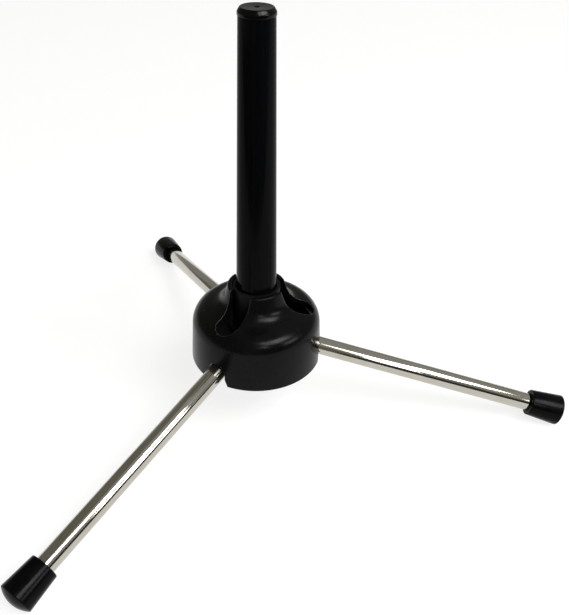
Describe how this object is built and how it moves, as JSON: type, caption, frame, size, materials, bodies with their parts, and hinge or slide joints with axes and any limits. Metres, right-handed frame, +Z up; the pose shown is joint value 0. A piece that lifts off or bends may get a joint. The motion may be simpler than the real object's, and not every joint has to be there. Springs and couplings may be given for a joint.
{
  "type": "woodwind instrument stand",
  "caption": "Folding tripod stand for a woodwind instrument, with a black domed hub, a tapered glossy black peg, bright nickel-plated tube legs and conical black rubber feet.",
  "frame": {"origin": "on the floor that the feet stand on, on the peg's axis", "axes": "+Z up along the peg's axis; +X runs out over leg 1"},
  "size_m": [0.2204, 0.252, 0.18],
  "materials": {
    "dome": "satin",
    "carrier": "matte",
    "screw": "satin",
    "pin": "satin",
    "eye": "matte",
    "tube": "polished",
    "foot": "matte",
    "peg": "gloss",
    "cap": "gloss"
  },
  "bodies": {
    "base": {"dome_shell": "dome", "leg_carrier": "carrier", "carrier_screw_1": "screw", "carrier_screw_2": "screw", "carrier_screw_3": "screw", "pivot_pin_1": "pin", "pivot_pin_2": "pin", "pivot_pin_3": "pin"},
    "leg_1": {"leg_tube_1": "tube", "leg_eye_1": "eye", "foot_1": "foot"},
    "leg_2": {"leg_tube_2": "tube", "leg_eye_2": "eye", "foot_2": "foot"},
    "leg_3": {"leg_tube_3": "tube", "leg_eye_3": "eye", "foot_3": "foot"},
    "peg": {"peg": "peg", "peg_cap": "cap"}
  },
  "joints": [
    {"name": "leg_1_fold", "type": "hinge", "parent": "base", "child": "leg_1", "pos_m": [0.018, 0, 0.03668], "axis": [0, 1, 0], "range_deg": [0, 76.1]},
    {"name": "leg_2_fold", "type": "hinge", "parent": "base", "child": "leg_2", "pos_m": [-0.009, 0.01559, 0.03668], "axis": [-0.866, -0.5, 0], "range_deg": [0, 76.1]},
    {"name": "leg_3_fold", "type": "hinge", "parent": "base", "child": "leg_3", "pos_m": [-0.009, -0.01559, 0.03668], "axis": [0.866, -0.5, 0], "range_deg": [0, 76.1]},
    {"name": "peg_lift", "type": "slide", "parent": "base", "child": "peg", "axis": [0, 0, 1], "range_m": [0, 0.018]}
  ]
}
